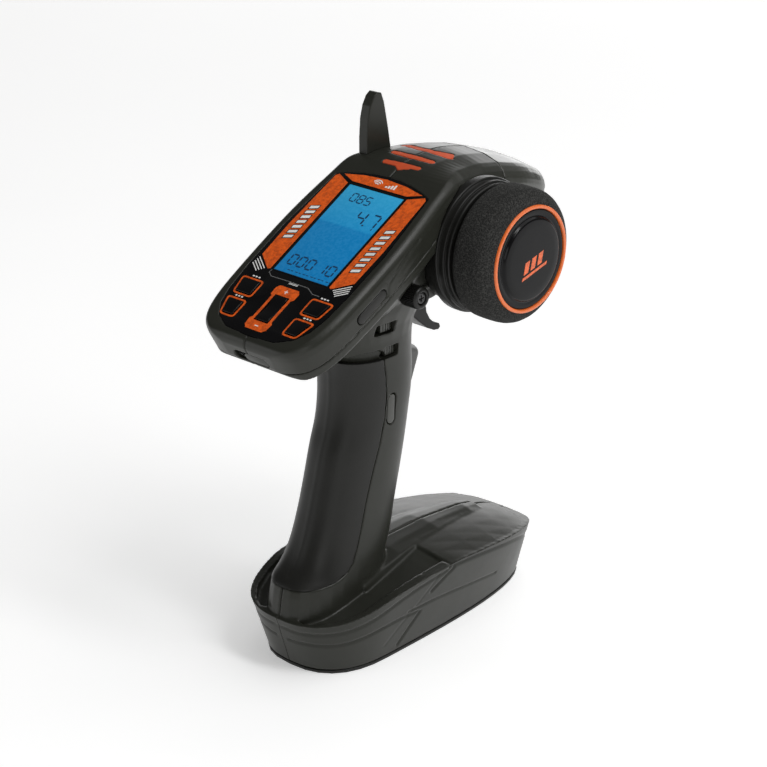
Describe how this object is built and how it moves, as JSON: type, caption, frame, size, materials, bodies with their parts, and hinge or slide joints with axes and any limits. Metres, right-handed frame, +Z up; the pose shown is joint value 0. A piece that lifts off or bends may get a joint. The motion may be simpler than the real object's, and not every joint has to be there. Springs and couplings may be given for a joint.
{
  "type": "radio transmitter controller",
  "caption": "Pistol-grip radio transmitter for model cars and boats, with a tilted display head, foam steering wheel, trigger and weighted base.",
  "frame": {"origin": "on the table under the foot of the grip, on the seam plane between the left and right mouldings", "axes": "+X towards the steering wheel (the operator's right), +Y away from the operator, +Z up"},
  "size_m": [0.0977, 0.1708, 0.241],
  "materials": {
    "case_plastic": "satin",
    "hood_plastic": "satin",
    "dark_plastic": "satin",
    "grip_rubber": "matte",
    "foam": "foam",
    "gloss_black": "gloss",
    "orange_plastic": "satin",
    "vent_red": "matte",
    "display_glass": "gloss",
    "board_green": "satin",
    "sensor_black": "satin",
    "spring_steel": "plain",
    "brass": "plain",
    "cell_wrap": "gloss",
    "lead_red": "satin",
    "screw_black": "satin"
  },
  "bodies": {
    "transmitter": {"body_left": "case_plastic", "body_right": "case_plastic", "head_left": "case_plastic", "head_right": "case_plastic", "hood": "hood_plastic", "wheel_housing": "dark_plastic", "grip_sleeve": "grip_rubber", "antenna_fin": "case_plastic", "antenna_element": "brass", "vent_inlays": "vent_red", "face_plate": "gloss_black", "display": "display_glass", "main_board": "board_green", "radio_module": "board_green", "switch_board": "board_green", "trim_sensor": "sensor_black", "trigger_pin": "spring_steel", "trigger_spring": "spring_steel", "trigger_sensor": "sensor_black", "return_spring": "spring_steel", "steering_sensor": "sensor_black", "base_floor": "dark_plastic", "battery_tray": "dark_plastic", "battery_cells": "cell_wrap", "battery_springs": "spring_steel", "battery_contacts": "spring_steel", "battery_leads": "lead_red", "foot_strip": "grip_rubber", "case_screws": "screw_black", "data_socket": "sensor_black"},
    "steering_wheel": {"wheel_shaft": "spring_steel", "wheel_hub": "dark_plastic", "foam_tyre": "foam", "wheel_ring": "orange_plastic", "wheel_cap": "gloss_black", "wheel_screw": "spring_steel"},
    "trigger_lever": {"trigger": "dark_plastic"},
    "trim_dial": {"trim_knob": "dark_plastic", "trim_screw": "screw_black"},
    "upper_left_key": {"key_upper_left": "gloss_black"},
    "lower_left_key": {"key_lower_left": "gloss_black"},
    "upper_right_key": {"key_upper_right": "gloss_black"},
    "lower_right_key": {"key_lower_right": "gloss_black"},
    "menu_key": {"menu_rocker": "gloss_black"},
    "power_slide": {"power_switch": "case_plastic"},
    "upper_switch": {"upper_grip_switch": "hood_plastic"},
    "lower_switch": {"lower_grip_switch": "hood_plastic"},
    "grip_push": {"grip_button": "hood_plastic"},
    "right_flap": {"port_flap_right": "grip_rubber"},
    "left_flap": {"port_flap_left": "grip_rubber"},
    "battery_hatch": {"battery_door": "dark_plastic"}
  },
  "joints": [
    {"name": "steering_wheel_turn", "type": "hinge", "parent": "transmitter", "child": "steering_wheel", "pos_m": [0.05, 0.0497, 0.1824], "axis": [1, 0, 0], "range_deg": [-35, 35], "stiffness_Nm_per_rad": 0.12},
    {"name": "trigger_lever_turn", "type": "hinge", "parent": "transmitter", "child": "trigger_lever", "pos_m": [0, 0.042, 0.167], "axis": [1, 0, 0], "range_deg": [-18, 12], "stiffness_Nm_per_rad": 0.1},
    {"name": "trim_dial_turn", "type": "hinge", "parent": "transmitter", "child": "trim_dial", "pos_m": [0.03, 0.008, 0.17], "axis": [1, 0, 0], "range_deg": [-150, 150]},
    {"name": "upper_left_key_travel", "type": "slide", "parent": "transmitter", "child": "upper_left_key", "axis": [0, 0.4833, -0.8755], "range_m": [0, 0.0006], "stiffness_N_per_m": 400},
    {"name": "lower_left_key_travel", "type": "slide", "parent": "transmitter", "child": "lower_left_key", "axis": [0, 0.4833, -0.8755], "range_m": [0, 0.0006], "stiffness_N_per_m": 400},
    {"name": "upper_right_key_travel", "type": "slide", "parent": "transmitter", "child": "upper_right_key", "axis": [0, 0.4833, -0.8755], "range_m": [0, 0.0006], "stiffness_N_per_m": 400},
    {"name": "lower_right_key_travel", "type": "slide", "parent": "transmitter", "child": "lower_right_key", "axis": [0, 0.4833, -0.8755], "range_m": [0, 0.0006], "stiffness_N_per_m": 400},
    {"name": "menu_key_turn", "type": "hinge", "parent": "transmitter", "child": "menu_key", "pos_m": [0, -0.04405, 0.16888], "axis": [1, 0, 0], "range_deg": [-4, 4], "stiffness_Nm_per_rad": 0.05},
    {"name": "power_slide_travel", "type": "slide", "parent": "transmitter", "child": "power_slide", "axis": [-1, 0, 0], "range_m": [0, 0.0055]},
    {"name": "upper_switch_travel", "type": "slide", "parent": "transmitter", "child": "upper_switch", "axis": [0, -1, 0], "range_m": [0, 0.004]},
    {"name": "lower_switch_travel", "type": "slide", "parent": "transmitter", "child": "lower_switch", "axis": [0, -1, 0], "range_m": [0, 0.0022]},
    {"name": "grip_push_travel", "type": "slide", "parent": "transmitter", "child": "grip_push", "axis": [-1, 0, 0], "range_m": [0, 0.001], "stiffness_N_per_m": 400},
    {"name": "right_flap_travel", "type": "slide", "parent": "transmitter", "child": "right_flap", "axis": [1, 0, 0], "range_m": [0, 0.004]},
    {"name": "left_flap_travel", "type": "slide", "parent": "transmitter", "child": "left_flap", "axis": [-1, 0, 0], "range_m": [0, 0.004]},
    {"name": "battery_hatch_turn", "type": "hinge", "parent": "transmitter", "child": "battery_hatch", "pos_m": [0, -0.0105, 0.0025], "axis": [1, 0, 0], "range_deg": [-80, 0]}
  ]
}
